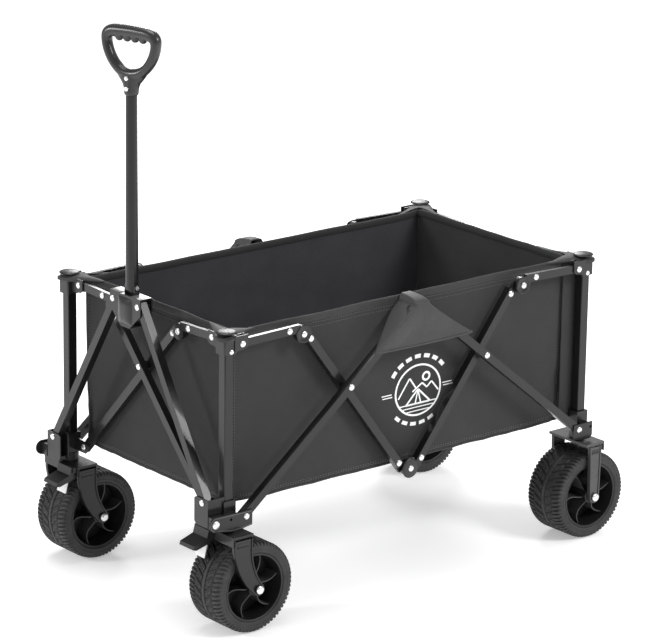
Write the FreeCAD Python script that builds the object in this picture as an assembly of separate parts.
import FreeCAD, Part
import math
import os

# Folding camp wagon: four square posts joined by scissor arms, a soft basket, two swivel casters with
# brakes at the handle end (-X), two fixed wheels at the rear (+X), and a pull handle that tilts forward.
# Millimetres, +Z up, ground at z = 0. Shapes are drawn for the front-left corner and mirrored.

Vec = FreeCAD.Vector

# Driving dimensions
POST_X = 450.0            # half the distance between front and rear post centres
POST_Y = 251.0            # half the distance between left and right post centres
ORIGIN_SHIFT = -10.0      # puts the origin under the middle of the overall length
POST_SIZE = 20.0
POST_WALL = 1.5
POST_FOOT_Z = 226.0
POST_TOP_Z = 575.0
ARM = 16.0                # height of every arm tube, seen square on
WALL = 1.5
PIN_R = 4.0
RUN = 0.05                # radial running clearance of pins in holes
HEAD_R = 6.5              # rivet head
HEAD_T = 2.5
EYE_R = 16.0              # round eye plates at the knuckles

# Depth layers of the long-side linkage, measured outward from the post centre plane
LAYER_P = (14.5, 30.0)    # outer arms, bracket to top centre
LAYER_S = (6.0, 14.0)     # short top links
LAYER_Q = (-10.0, 5.5)    # inner arms, knuckle to bottom hub
# Depth layers of the end linkages, measured outward from the post centre plane
LAYER_X1 = (3.0, 17.0)
LAYER_SE = (-5.0, 2.5)
LAYER_X2 = (-18.0, -5.5)

# Pivots of the long sides as (x, z), front half
P0 = (-425.0, 232.0)      # outer arm on the lower bracket
C = (-172.0, 436.0)       # crossing of outer and inner arm
P1 = (0.0, 560.0)         # top centre
H = (0.0, 231.4)          # bottom hub
K = (-277.0, 557.0)       # knuckle of inner arm and top link
T = (-424.0, 565.4)       # top link on the corner joint
Q_AXIS_OFFSET_H = 13.0    # inner tube axis outside the hub pivot
S_RISE = 12.0             # top link axis above the knuckle

# Pivots of the ends as (y, z), left half
XL = (-211.0, 238.0)      # end arm on the lower bracket
XC = (0.0, 461.5)         # crossing
KE = (-105.0, 555.0)      # knuckle
TE = (-214.0, 571.0)      # end link on the corner joint

# Handle
SUPPORT_X = (30.0, 46.0)  # depth of the handle supports in front of the post centres
SUPPORT_FOOT = (-243.0, 262.0)
SUPPORT_HEAD = (-39.5, 594.5)
BRACKET_FRONT = 48.7      # depth of the handle bracket's front and back faces
BRACKET_BACK = 20.0
SHEET = 2.5
HANDLE_X = -482.0
HANDLE_HINGE_Z = 623.5
HANDLE_FOOT_Z = 611.0
HINGE_PIN_R = 2.5
EAR_Y = (12.8, 16.0)      # inner and outer face of the two hinge ears
HANDLE_TOP_Z = 1003.0
HANDLE_R_FOOT = 12.5      # also the height of the hinge above the rounded foot
HANDLE_R_TOP = 11.0
GRIP_TURN_DEG = 18.0      # the grip sits turned on its round tube
GRIP_THICK = 24.0
GRIP_NECK_Z = 997.0

# Wheels
WHEEL_R = 90.0
WHEEL_W = 94.0
RIM_R = 68.0
TRAIL = 37.0              # caster axle behind the swivel axis
AXLE_R = 6.0
CROWN_Z = (200.0, 205.0)
PEDAL_PIN = (-477.0, 199.0)
PEDAL_PIN_R = 2.0
PEDAL_Y = (-245.0, -201.0)
LEG = (50.5, 56.5)        # inner and outer face of the fork legs, from the wheel centre plane
STEM_R = 8.0

# Basket
BASKET_X = 428.0
BASKET_Y = 231.0
CLOTH = 4.0
BASKET_Z = (240.0, 577.0)
FLOOR_Z = (243.0, 246.0)

os.makedirs("parts", exist_ok=True)


def fuse(*shapes):
    """Join shapes into one clean solid."""
    result = shapes[0]
    if len(shapes) > 1:
        result = shapes[0].fuse(list(shapes[1:]))
    return result.removeSplitter()


def box(x0, x1, y0, y1, z0, z1):
    """Axis-aligned box between two corners."""
    return Part.makeBox(x1 - x0, y1 - y0, z1 - z0, Vec(x0, y0, z0))


class SidePlane:
    """Left long side: points are (x, z), depth runs outward (-Y) from the post centres."""

    normal = Vec(0, -1, 0)

    @staticmethod
    def point(p, depth):
        return Vec(p[0], -(POST_Y + depth), p[1])


class EndPlane:
    """Front end: points are (y, z), depth runs outward (-X) from the post centres."""

    normal = Vec(-1, 0, 0)

    @staticmethod
    def point(p, depth):
        return Vec(-(POST_X + depth), p[0], p[1])


def plate(plane, points, layer):
    """Flat plate with the given outline, between two depths."""
    outline = [plane.point(p, layer[0]) for p in points]
    face = Part.Face(Part.makePolygon(outline + outline[:1]))
    return face.extrude(plane.normal * (layer[1] - layer[0]))


def disc(plane, p, radius, layer):
    """Round plate or pin across the plane."""
    return Part.makeCylinder(radius, layer[1] - layer[0], plane.point(p, layer[0]), plane.normal)


def head(plane, p, depth, outward=True, thickness=HEAD_T, radius=HEAD_R):
    """Domed rivet head standing on a face at the given depth."""
    sign = 1.0 if outward else -1.0
    base = plane.point(p, depth)
    return Part.makeCone(radius, radius * 0.55, thickness, base, plane.normal * sign)


def along(p, q, s, offset=0.0):
    """Point at distance s from p towards q, moved sideways by offset (left of the direction)."""
    length = math.dist(p, q)
    u = ((q[0] - p[0]) / length, (q[1] - p[1]) / length)
    return (p[0] + u[0] * s - u[1] * offset, p[1] + u[1] * s + u[0] * offset)


def bar(plane, p, q, s0, s1, layer, height=ARM, offset=0.0):
    """Solid bar on the line p to q between two distances from p."""
    half = height / 2.0
    corners = [
        along(p, q, s0, offset - half),
        along(p, q, s1, offset - half),
        along(p, q, s1, offset + half),
        along(p, q, s0, offset + half),
    ]
    return plate(plane, corners, layer)


def cavity(plane, p, q, s0, s1, layer, offset=0.0):
    """Inside of the tube that bar() would make with closed ends."""
    inner = (layer[0] + WALL, layer[1] - WALL)
    return bar(plane, p, q, s0 + 6.0, s1 - 6.0, inner, ARM - 2.0 * WALL, offset)


def hole(plane, p, layer, radius=PIN_R + RUN):
    """Through hole across a layer."""
    return disc(plane, p, radius, (layer[0] - 1.0, layer[1] + 1.0))


def foot_distance(p, q, r):
    """Distance from p along p to q where r projects."""
    length = math.dist(p, q)
    return ((r[0] - p[0]) * (q[0] - p[0]) + (r[1] - p[1]) * (q[1] - p[1])) / length


def split_layer(layer, inner_half):
    """Inner or outer half of a layer, with a small gap between the two."""
    middle = (layer[0] + layer[1]) / 2.0
    return (layer[0], middle - 0.1) if inner_half else (middle + 0.1, layer[1])


# Long sides

def outer_arm(front):
    """Arm from the lower bracket to the top centre; the front arm carries the top pin."""
    reach = foot_distance(P0, C, P1)
    ear = split_layer(LAYER_P, front)
    solid = fuse(
        bar(SidePlane, P0, C, -10.0, reach - 19.5, LAYER_P),
        bar(SidePlane, P0, C, reach - 32.0, reach - 4.0, ear),
        disc(SidePlane, P1, EYE_R, ear),
    )
    solid = solid.cut(cavity(SidePlane, P0, C, -10.0, reach - 19.5, LAYER_P))
    solid = solid.cut(hole(SidePlane, P0, LAYER_P))
    spacer = disc(SidePlane, C, 8.0, (LAYER_Q[1] + 0.2, LAYER_P[0] + 0.5))
    pin = disc(SidePlane, C, PIN_R, (LAYER_Q[0] - 0.2, LAYER_P[1]))
    back = head(SidePlane, C, LAYER_Q[0] - 0.2, outward=False, thickness=2.0)
    solid = fuse(solid, spacer, pin, back, head(SidePlane, C, LAYER_P[1]))
    if front:
        pin = disc(SidePlane, P1, PIN_R, (ear[1] - 1.0, LAYER_P[1] + 0.2))
        return fuse(solid, pin, head(SidePlane, P1, LAYER_P[1] + 0.2))
    return solid.cut(hole(SidePlane, P1, ear))


def inner_arm(front):
    """Arm from the top knuckle down to the bottom hub."""
    # The tube axis passes through the crossing and runs outside both end pivots.
    dist_h = math.dist(H, C)
    angle_hc = math.atan2(C[1] - H[1], C[0] - H[0])
    lean = angle_hc - math.asin(Q_AXIS_OFFSET_H / dist_h)
    low = (C[0] - dist_h * math.cos(lean), C[1] - dist_h * math.sin(lean))
    start = foot_distance(low, C, H)
    reach = foot_distance(low, C, K)
    ear = split_layer(LAYER_Q, front)
    knuckle = (LAYER_Q[1] - 4.0, LAYER_Q[1])
    solid = fuse(
        bar(SidePlane, low, C, start + 22.5, reach - 18.0, LAYER_Q),
        bar(SidePlane, low, C, start + 6.0, start + 34.0, ear),
        disc(SidePlane, H, EYE_R, ear),
        bar(SidePlane, low, C, reach - 24.0, reach - 2.0, knuckle),
        disc(SidePlane, K, EYE_R, knuckle),
    )
    solid = solid.cut(cavity(SidePlane, low, C, start + 22.5, reach - 18.0, LAYER_Q))
    solid = solid.cut(hole(SidePlane, C, LAYER_Q))
    rivets = [head(SidePlane, along(low, C, start + 30.0), LAYER_Q[1])]
    if not front:
        rivets.append(head(SidePlane, H, LAYER_Q[1]))
    return fuse(solid, *rivets)


def top_link():
    """Short link from the corner joint to the knuckle."""
    length = math.dist(T, K)
    end = (K[0], K[1] + S_RISE)
    solid = fuse(
        bar(SidePlane, T, end, 0.0, length - 8.0, LAYER_S),
        disc(SidePlane, T, ARM / 2.0, LAYER_S),
        disc(SidePlane, K, EYE_R, LAYER_S),
    )
    solid = solid.cut(cavity(SidePlane, T, end, 4.0, length - 20.0, LAYER_S))
    solid = solid.cut(hole(SidePlane, T, LAYER_S))
    rivet = head(SidePlane, along(T, end, length - 34.0), LAYER_S[1])
    return fuse(solid, head(SidePlane, K, LAYER_S[1]), rivet)


# Ends

def mirrored(p):
    """Mirror a point of the end plane to the other side."""
    return (-p[0], p[1])


def end_arm(outer):
    """Scissor arm of an end; the outer one starts at the left bracket and carries the crossing pin."""
    layer = LAYER_X1 if outer else LAYER_X2
    knuckle = (layer[0], layer[0] + 4.0) if outer else (layer[1] - 4.0, layer[1])
    foot = XL if outer else mirrored(XL)
    eye = mirrored(KE) if outer else KE
    reach = foot_distance(foot, XC, eye)
    solid = fuse(
        bar(EndPlane, foot, XC, -10.0, reach - 18.0, layer),
        bar(EndPlane, foot, XC, reach - 24.0, reach - 2.0, knuckle),
        disc(EndPlane, eye, EYE_R, knuckle),
    )
    solid = solid.cut(cavity(EndPlane, foot, XC, -10.0, reach - 18.0, layer))
    solid = solid.cut(hole(EndPlane, foot, layer))
    if not outer:
        return solid.cut(hole(EndPlane, XC, layer))
    rivets = [head(EndPlane, along(foot, XC, reach - 27.0), layer[1], thickness=2.0)]
    rivets.append(head(EndPlane, eye, knuckle[1]))
    rivets.append(head(EndPlane, XC, layer[1], thickness=2.0))
    rivets.append(disc(EndPlane, XC, 8.0, (LAYER_X2[1] + 0.2, layer[0] + 0.5)))
    rivets.append(disc(EndPlane, XC, PIN_R, (LAYER_X2[0] - 0.2, layer[1])))
    rivets.append(head(EndPlane, XC, LAYER_X2[0] - 0.2, outward=False, thickness=1.3))
    return fuse(solid, *rivets)


def end_link(left):
    """Short link from the corner joint to the end knuckle."""
    start = TE if left else mirrored(TE)
    eye = KE if left else mirrored(KE)
    end = (eye[0], eye[1] + S_RISE)
    length = math.dist(start, eye)
    solid = fuse(
        bar(EndPlane, start, end, 0.0, length - 8.0, LAYER_SE),
        disc(EndPlane, start, ARM / 2.0, LAYER_SE),
        disc(EndPlane, eye, EYE_R, LAYER_SE),
    )
    solid = solid.cut(hole(EndPlane, start, LAYER_SE))
    if left:
        rivet = head(EndPlane, along(start, end, length - 34.0), LAYER_SE[1])
        return fuse(solid, head(EndPlane, eye, LAYER_SE[1]), rivet)
    return solid


# Corners

def post():
    """Square tube standing in the lower bracket, with the corner joint on its top."""
    half = POST_SIZE / 2.0
    inner = half - POST_WALL
    outer = box(-half, half, -half, half, POST_FOOT_Z + 0.2, POST_TOP_Z)
    bore = box(-inner, inner, -inner, inner, POST_FOOT_Z, POST_TOP_Z + 1.0)
    tube = outer.makeFillet(2.0, [e for e in outer.Edges if is_vertical(e)])
    return tube.cut(bore).translated(Vec(-POST_X, -POST_Y, 0))


def is_vertical(edge):
    """True for a straight edge along Z."""
    a = edge.Vertexes[0].Point
    b = edge.Vertexes[-1].Point
    return abs(a.x - b.x) < 1e-6 and abs(a.y - b.y) < 1e-6


def lower_bracket(front, left):
    """Stamped bracket round the post's foot, with lugs for the arms that pivot on it."""
    x = -POST_X
    y = -POST_Y
    half = 14.0
    socket = POST_SIZE / 2.0 + 0.2
    parts = [box(x - half, x + half, y - half, y + half, 222.0, 262.0)]
    # Wing for the long-side arm, with a boss that holds it off the block
    wing_layer = (LAYER_P[1] + 0.3, LAYER_P[1] + 0.3 + SHEET)
    toe = x - 47.0 if front else x - 11.0
    heel = -462 if front else -455
    parts.append(plate(SidePlane, [(toe, 244), (-440, 243), (-411, 243), (-411, 213), (-436, 209),
                                   (heel, 209), (toe, 215)], wing_layer))
    boss = toe - 2.0 if front else toe + 2.0
    parts.append(box(boss, x + 9.0, y - wing_layer[0] - 0.5, y - half + 1.0, 216.0, 240.0))
    parts.append(disc(SidePlane, P0, PIN_R, (LAYER_P[0] - 1.0, wing_layer[0] + 0.5)))
    parts.append(head(SidePlane, P0, wing_layer[1]))
    if front:
        parts.append(disc(SidePlane, (toe, 229.5), 14.5, wing_layer))
        parts.append(head(SidePlane, (toe, 229.5), wing_layer[1], radius=8.0))
    # Lug for the end arm; the left brackets carry the outer arm, the right ones the inner arm
    arm_layer = LAYER_X1 if left else LAYER_X2
    lug_layer = (arm_layer[1] + 0.3, arm_layer[1] + 0.3 + SHEET)
    lug = [(-247, 226), (-205, 226), (-198, 233), (-198, 244), (-205, 250), (-247, 254)]
    parts.append(plate(EndPlane, lug, lug_layer))
    parts.append(disc(EndPlane, XL, PIN_R, (arm_layer[0] - 0.5, lug_layer[0] + 0.5)))
    parts.append(head(EndPlane, XL, lug_layer[1], thickness=2.0))
    if left:
        parts.append(box(x - lug_layer[1], x, y - 7.0, y + 11.0, 226.0, 254.0))
    if front:
        parts += support_channel(x, y)
    solid = fuse(*parts)
    solid = solid.cut(box(x - socket, x + socket, y - socket, y + socket, POST_FOOT_Z, 280.0))
    solid = solid.cut(Part.makeCylinder(18.0, 17.0, Vec(x, y, 205.0)))
    window_x = x - 11.0 if front else x - 6.0
    window = disc(SidePlane, (window_x, 233.0), 2.8, (wing_layer[0] - 3.0, wing_layer[1] + 1.0))
    bore = Part.makeCylinder(STEM_R + RUN, 8.0, Vec(x, y, 220.0))
    return solid.cut(window).cut(bore)


def support_channel(x, y):
    """Forward channel, open at the top, that holds the foot of a handle support."""
    front = (SUPPORT_X[1] + 0.2, SUPPORT_X[1] + 0.2 + SHEET)
    back = (SUPPORT_X[0] - 0.2 - SHEET, SUPPORT_X[0] - 0.2)
    cheek = [(-261, 216), (-224, 216), (-219, 222), (-219, 268), (-225, 271), (-261, 271)]
    wall = [(-261, 216), (-258.5, 216), (-258.5, 271), (-261, 271)]
    sole = [(-261, 216), (-224, 216), (-224, 224), (-261, 224)]
    channel = [plate(EndPlane, cheek, front), plate(EndPlane, cheek, back)]
    channel.append(plate(EndPlane, wall, (8.0, front[1])))
    channel.append(plate(EndPlane, sole, (back[0], front[1])))
    channel.append(box(x - back[1], x - 10.0, y - 7.0, y + 11.0, 226.0, 256.0))
    channel.append(disc(EndPlane, SUPPORT_FOOT, PIN_R, (back[0], front[1])))
    channel.append(head(EndPlane, SUPPORT_FOOT, front[1]))
    return channel


def corner_joint():
    """Moulded joint on the post's top with cheeks for the side link and the end link."""
    x = -POST_X
    y = -POST_Y
    socket = POST_SIZE / 2.0 + 0.2
    block = box(x - 15, x + 15, y - 15, y + 15, 548.0, 583.0)
    block = block.makeFillet(4.0, [e for e in block.Edges if is_vertical(e)])
    cheek = [(x + 8, 552), (x + 34, 556), (x + 39, 561), (x + 39, 582), (x + 8, 582)]
    outer = (LAYER_S[1] + 0.3, LAYER_S[1] + 3.0)
    inner = (LAYER_S[0] - 3.0, LAYER_S[0] - 0.3)
    parts = [block, plate(SidePlane, cheek, outer), plate(SidePlane, cheek, inner)]
    parts.append(disc(SidePlane, T, PIN_R, (inner[0], outer[1])))
    parts.append(head(SidePlane, T, outer[1]))
    lug = [(y + 8, 552), (y + 44, 557), (y + 50, 563), (y + 50, 583), (y + 8, 583)]
    outer = (LAYER_SE[1] + 0.3, LAYER_SE[1] + 2.8)
    inner = (LAYER_SE[0] - 2.8, LAYER_SE[0] - 0.3)
    parts += [plate(EndPlane, lug, outer), plate(EndPlane, lug, inner)]
    parts.append(disc(EndPlane, TE, PIN_R, (inner[0], outer[1])))
    parts.append(head(EndPlane, TE, outer[1]))
    parts.append(Part.makeCylinder(4.0, 4.0, Vec(x, y, 583.0)))
    parts.append(Part.makeCone(14.0, 9.0, 4.5, Vec(x, y, 586.5)))
    solid = fuse(*parts)
    return solid.cut(box(x - socket, x + socket, y - socket, y + socket, 540.0, POST_TOP_Z + 0.2))


# Casters and wheels

def fork(front):
    """Fork with crown, two legs, stem and axle; the front legs sweep back to give the caster trail."""
    x = -POST_X
    y = -POST_Y
    axle_x = x + (TRAIL if front else 0.0)
    axle = (axle_x, WHEEL_R)
    if front:
        outline = leg_outline((x - 22.0, 200.0), (x + 22.0, 200.0), axle, sweep=True)
    else:
        outline = leg_outline((x - 16.0, 200.0), (x + 16.0, 200.0), axle, sweep=False)
    parts = []
    for side in (-1.0, 1.0):
        inner, outer = sorted((y + side * LEG[0], y + side * LEG[1]))
        wire = outline.translated(Vec(0, inner, 0))
        parts.append(Part.Face(wire).extrude(Vec(0, outer - inner, 0)))
        nut = Part.makeCylinder(8.0, 4.0, Vec(axle_x, y + side * LEG[1], WHEEL_R), Vec(0, side, 0))
        parts.append(nut)
    parts.append(box(x - 24.0, x + 24.0, y - LEG[1], y + LEG[1], CROWN_Z[0], CROWN_Z[1]))
    parts.append(box(x - 24.0, x - 21.0, y - LEG[1], y + LEG[1], 186.0, CROWN_Z[1]))
    parts.append(Part.makeCylinder(16.0, 221.5 - CROWN_Z[1] + 1.0, Vec(x, y, CROWN_Z[1] - 1.0)))
    parts.append(Part.makeCylinder(STEM_R, 225.5 - 221.0, Vec(x, y, 221.0)))
    span = 2.0 * LEG[1]
    parts.append(Part.makeCylinder(AXLE_R, span, Vec(axle_x, y - LEG[1], WHEEL_R), Vec(0, 1, 0)))
    if not front:
        return fuse(*parts)
    px, pz = PEDAL_PIN
    for y0 in (PEDAL_Y[0] - 3.3, PEDAL_Y[1] + 0.3):
        parts.append(box(px - 5.0, x - 21.0, y0, y0 + 3.0, pz - 5.0, CROWN_Z[1]))
    solid = fuse(*parts)
    pin_hole = Part.makeCylinder(PEDAL_PIN_R + RUN, 60.0, Vec(px, PEDAL_Y[0] - 8.0, pz), Vec(0, 1, 0))
    return solid.cut(pin_hole)


def leg_outline(top_a, top_b, axle, sweep):
    """Closed wire of a fork leg in the XZ plane, from the crown down to a round end at the axle."""
    end_r = 13.0

    def v(px, pz):
        return Vec(px, 0, pz)

    a = v(top_a[0], top_a[1] + 3.0)
    b = v(top_b[0], top_b[1] + 3.0)
    if not sweep:
        left = v(axle[0] - end_r, axle[1])
        right = v(axle[0] + end_r, axle[1])
        bottom = Part.Arc(right, v(axle[0], axle[1] - end_r), left).toShape()
        return Part.Wire([
            Part.makeLine(a, b), Part.makeLine(b, right), bottom, Part.makeLine(left, a),
        ])
    slope = math.radians(35.0)
    du = Vec(math.cos(slope), 0, math.sin(slope))
    left = v(*axle) - du * end_r
    right = v(*axle) + du * end_r
    low = v(axle[0] + end_r * math.sin(slope), axle[1] - end_r * math.cos(slope))
    bottom = Part.Arc(right, low, left).toShape()
    front_edge = Part.Arc(left, v(top_a[0] + 9.0, 140.0), v(top_a[0], 178.0)).toShape()
    back_edge = Part.Arc(v(top_b[0], 178.0), v(top_b[0] + 4.5, 138.0), right).toShape()
    return Part.Wire([
        Part.makeLine(a, b), Part.makeLine(b, v(top_b[0], 178.0)), back_edge, bottom,
        front_edge, Part.makeLine(v(top_a[0], 178.0), a),
    ])


def tyre(axle_x):
    """Wide tyre as a ring with rounded shoulders; the tread pattern stays plain here."""
    half = WHEEL_W / 2.0
    shoulder = 8.0
    pts = [Vec(-half, 0, RIM_R), Vec(-half, 0, WHEEL_R - shoulder)]
    mid = shoulder * (1.0 - math.sqrt(0.5))
    edges = [Part.makeLine(pts[0], pts[1])]
    top_a = Vec(-half + shoulder, 0, WHEEL_R)
    top_b = Vec(half - shoulder, 0, WHEEL_R)
    edges.append(Part.Arc(pts[1], Vec(-half + mid, 0, WHEEL_R - mid), top_a).toShape())
    edges.append(Part.makeLine(top_a, top_b))
    low_b = Vec(half, 0, WHEEL_R - shoulder)
    edges.append(Part.Arc(top_b, Vec(half - mid, 0, WHEEL_R - mid), low_b).toShape())
    edges.append(Part.makeLine(low_b, Vec(half, 0, RIM_R)))
    edges.append(Part.makeLine(Vec(half, 0, RIM_R), pts[0]))
    ring = Part.Face(Part.Wire(edges)).revolve(Vec(0, 0, 0), Vec(1, 0, 0), 360.0)
    ring.rotate(Vec(0, 0, 0), Vec(0, 0, 1), 90.0)
    return ring.translated(Vec(axle_x, -POST_Y, WHEEL_R))


def rim(axle_x):
    """Moulded rim: barrel, centre web with ribs, and a hub that turns on the axle."""
    base = Vec(axle_x, -POST_Y, WHEEL_R)
    along_y = Vec(0, 1, 0)

    def ring(outer, inner, y0, y1):
        start = base + Vec(0, y0, 0)
        solid = Part.makeCylinder(outer, y1 - y0, start, along_y)
        return solid.cut(Part.makeCylinder(inner, y1 - y0 + 2.0, start - Vec(0, 1, 0), along_y))

    bore = AXLE_R + RUN
    parts = [ring(RIM_R - 0.1, RIM_R - 5.0, -45.0, 45.0), ring(16.0, bore, -48.0, 48.0)]
    parts.append(ring(RIM_R - 3.0, 12.0, -4.0, 4.0))
    for k in range(8):
        rib = box(14.0, RIM_R - 3.0, -16.0, 16.0, -2.0, 2.0)
        rib.rotate(Vec(0, 0, 0), along_y, k * 45.0)
        parts.append(rib.translated(base))
    return fuse(*parts)


def brake_pedal():
    """Rocker pedal in front of the caster crown: a short arm, a foot plate and its pin."""
    px, pz = PEDAL_PIN
    y0, y1 = PEDAL_Y

    def v(x, z):
        return Vec(px + x, y0, pz + z)

    outline = [v(1, 6), v(-7, 6), v(-11, -9), v(-41, -19), v(-43, -26), v(-35, -28), v(-9, -21)]
    outline += [v(-1, -17), v(1, -9)]
    pedal = Part.Face(Part.makePolygon(outline + outline[:1])).extrude(Vec(0, y1 - y0, 0))
    pin = Part.makeCylinder(PEDAL_PIN_R, y1 - y0 + 6.6, Vec(px, y0 - 3.3, pz), Vec(0, 1, 0))
    return fuse(pedal, pin)


def brake_plate():
    """Sprung metal plate under the pedal that presses on the tyre."""
    x = -POST_X - 24.0
    y0 = -POST_Y + 10.0
    y1 = -POST_Y + 38.0

    def v(px, pz):
        return Vec(px, y0, pz)

    outline = [v(x - 8.0, 178.5), v(x - 10.5, 177.8), v(x - 17.5, 150), v(x - 15, 149.5)]
    return Part.Face(Part.makePolygon(outline + outline[:1])).extrude(Vec(0, y1 - y0, 0))


# Handle

def handle_support(left):
    """Square tube from the lower bracket up to the handle bracket."""
    foot = SUPPORT_FOOT if left else mirrored(SUPPORT_FOOT)
    top = SUPPORT_HEAD if left else mirrored(SUPPORT_HEAD)
    length = math.dist(foot, top)
    solid = bar(EndPlane, foot, top, -10.0, length + 10.0, SUPPORT_X)
    solid = solid.cut(cavity(EndPlane, foot, top, -10.0, length + 10.0, SUPPORT_X))
    solid = solid.cut(hole(EndPlane, foot, SUPPORT_X))
    return solid.cut(hole(EndPlane, top, SUPPORT_X)) if left else solid


def handle_bracket():
    """Five-sided sheet bracket that joins the supports and carries the handle hinge."""
    face = [(-49, 610), (-49, 578), (-14, 546), (14, 546), (49, 578), (49, 610)]
    parts = [plate(EndPlane, face, (BRACKET_FRONT - SHEET, BRACKET_FRONT))]
    parts.append(plate(EndPlane, face, (BRACKET_BACK, BRACKET_BACK + SHEET)))
    parts.append(box(-POST_X - BRACKET_FRONT, -POST_X - BRACKET_BACK, -49, 49, 607.8, 610))
    parts.append(box(-POST_X - BRACKET_FRONT, -POST_X - BRACKET_BACK, -14, 14, 546, 548.5))
    parts.append(disc(EndPlane, SUPPORT_HEAD, PIN_R, (BRACKET_BACK, BRACKET_FRONT)))
    for p in (SUPPORT_HEAD, mirrored(SUPPORT_HEAD)):
        parts.append(head(EndPlane, p, BRACKET_FRONT))
    for y0 in (-EAR_Y[1], EAR_Y[0]):
        foot = Vec(HANDLE_X, y0, HANDLE_HINGE_Z)
        parts.append(Part.makeCylinder(6.0, EAR_Y[1] - EAR_Y[0], foot, Vec(0, 1, 0)))
        parts.append(box(HANDLE_X - 6.0, HANDLE_X + 6.0, y0, y0 + EAR_Y[1] - EAR_Y[0], 609.0, HANDLE_HINGE_Z))
    bore = Part.makeCylinder(HINGE_PIN_R + RUN, 60.0, Vec(HANDLE_X, -30.0, HANDLE_HINGE_Z), Vec(0, 1, 0))
    return fuse(*parts).cut(bore)


def handle_pivot_pin():
    """Pin that the handle tilts on."""
    y = EAR_Y[1] + 0.3
    pin = Part.makeCylinder(HINGE_PIN_R, 2.0 * y, Vec(HANDLE_X, -y, HANDLE_HINGE_Z), Vec(0, 1, 0))
    ends = []
    for y0 in (-y - 1.5, y):
        ends.append(Part.makeCylinder(4.0, 1.5, Vec(HANDLE_X, y0, HANDLE_HINGE_Z), Vec(0, 1, 0)))
    return fuse(pin, *ends)


def handle_tube():
    """Long round tube with a rounded foot that the hinge pin crosses."""
    length = HANDLE_TOP_Z - HANDLE_FOOT_Z
    base = Vec(HANDLE_X, 0, HANDLE_FOOT_Z)
    tube = Part.makeCone(HANDLE_R_FOOT, HANDLE_R_TOP, length, base)
    bore = Part.makeCone(HANDLE_R_FOOT - WALL, HANDLE_R_TOP - WALL, length - 30.0, base + Vec(0, 0, 30.0))
    hinge = Vec(HANDLE_X, -20.0, HANDLE_HINGE_Z)
    foot = Part.makeCylinder(HANDLE_R_FOOT, 40.0, hinge, Vec(0, 1, 0))
    above = box(HANDLE_X - 20.0, HANDLE_X + 20.0, -20.0, 20.0, HANDLE_HINGE_Z, HANDLE_TOP_Z)
    solid = tube.common(foot.fuse(above)).cut(bore)
    return solid.cut(Part.makeCylinder(HINGE_PIN_R + RUN, 40.0, hinge, Vec(0, 1, 0))).removeSplitter()


def closed_curve(half):
    """Smooth closed wire in the YZ plane, symmetric about y = 0, through the given right half."""
    left = [(-p[0], p[1]) for p in reversed(half) if abs(p[0]) > 1e-6]
    pts = [Vec(0, p[0], p[1]) for p in half + left]
    curve = Part.BSplineCurve()
    curve.interpolate(pts, PeriodicFlag=True)
    return Part.Wire(curve.toShape())


def grip():
    """D-shaped hand grip with a neck over the handle tube."""
    z = GRIP_NECK_Z
    outer = closed_curve([
        (0, z - 1), (14, z), (16, z + 14), (27, z + 33), (52, z + 60), (65, z + 88), (66, z + 108),
        (57, z + 125), (35, z + 132), (0, z + 133),
    ])
    inner = closed_curve([(0, z + 43), (25, z + 50), (44, z + 75), (48, z + 95), (38, z + 108), (0, z + 110)])
    solid = Part.Face(outer).extrude(Vec(GRIP_THICK, 0, 0))
    solid = solid.cut(Part.Face(inner).extrude(Vec(GRIP_THICK, 0, 0)))
    solid.translate(Vec(-GRIP_THICK / 2.0, 0, 0))
    solid = solid.cut(Part.makeCylinder(HANDLE_R_TOP + 0.2, 10.0, Vec(0, 0, HANDLE_TOP_Z - 9.9)))
    solid.rotate(Vec(0, 0, 0), Vec(0, 0, 1), GRIP_TURN_DEG)
    return solid.translated(Vec(HANDLE_X, 0, 0))


# Basket

def side_panel():
    """Long soft wall of the basket."""
    return box(-BASKET_X, BASKET_X, -BASKET_Y, -BASKET_Y + CLOTH, BASKET_Z[0], BASKET_Z[1])


def end_panel():
    """Short soft wall of the basket."""
    y = BASKET_Y - CLOTH - 0.5
    return box(-BASKET_X, -BASKET_X + CLOTH, -y, y, BASKET_Z[0], BASKET_Z[1])


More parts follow.
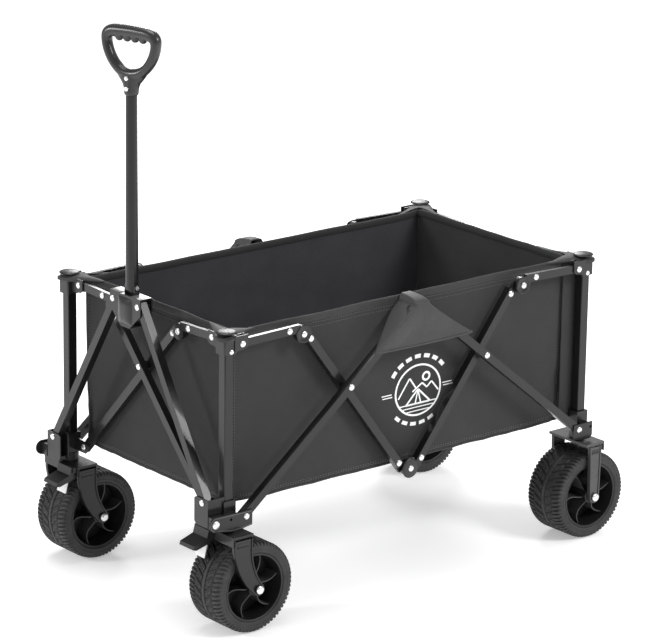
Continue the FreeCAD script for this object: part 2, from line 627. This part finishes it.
def floor_half():
    """Left half of the padded floor board."""
    x = BASKET_X - CLOTH - 0.5
    return box(-x, x, -BASKET_Y + CLOTH + 0.5, -0.5, FLOOR_Z[0], FLOOR_Z[1])


def rear(shape):
    """Mirror a front piece to the rear."""
    return shape.mirror(Vec(0, 0, 0), Vec(1, 0, 0))


def right(shape):
    """Mirror a left piece to the right."""
    return shape.mirror(Vec(0, 0, 0), Vec(0, 1, 0))


def save(name, shape):
    """Move a finished piece to the part's origin and write it."""
    piece = shape.translated(Vec(ORIGIN_SHIFT, 0, 0))
    assert piece.isValid(), name
    piece.exportStep("parts/" + name + ".step")


def save_pair(stem, tail, shape):
    """Write a left piece and its mirror image."""
    save(stem + "_left" + tail, shape)
    save(stem + "_right" + tail, right(shape))


def main():
    for row, place in (("front", lambda s: s), ("rear", rear)):
        is_front = row == "front"
        save_pair("post_" + row, "", place(post()))
        save_pair("corner_joint_" + row, "", place(corner_joint()))
        save("lower_bracket_" + row + "_left", place(lower_bracket(is_front, True)))
        save("lower_bracket_" + row + "_right", right(place(lower_bracket(is_front, False))))
        save_pair("outer_arm_" + row, "", place(outer_arm(is_front)))
        save_pair("inner_arm_" + row, "", place(inner_arm(is_front)))
        save_pair("top_link_" + row, "", place(top_link()))
        save("end_arm_" + row + "_outer", place(end_arm(True)))
        save("end_arm_" + row + "_inner", place(end_arm(False)))
        save("end_link_" + row + "_left", place(end_link(True)))
        save("end_link_" + row + "_right", place(end_link(False)))
        axle_x = -POST_X + (TRAIL if is_front else 0.0)
        save_pair("fork_" + row, "", place(fork(is_front)))
        save_pair("tyre_" + row, "", place(tyre(axle_x)))
        save_pair("rim_" + row, "", place(rim(axle_x)))
        save("end_panel_" + row, place(end_panel()))
    save_pair("brake_pedal", "", brake_pedal())
    save_pair("brake_plate", "", brake_plate())
    save_pair("side_panel", "", side_panel())
    save_pair("floor", "", floor_half())
    save("handle_support_left", handle_support(True))
    save("handle_support_right", handle_support(False))
    save("handle_bracket", handle_bracket())
    save("handle_pivot_pin", handle_pivot_pin())
    save("handle_tube", handle_tube())
    save("handle_grip", grip())


main()
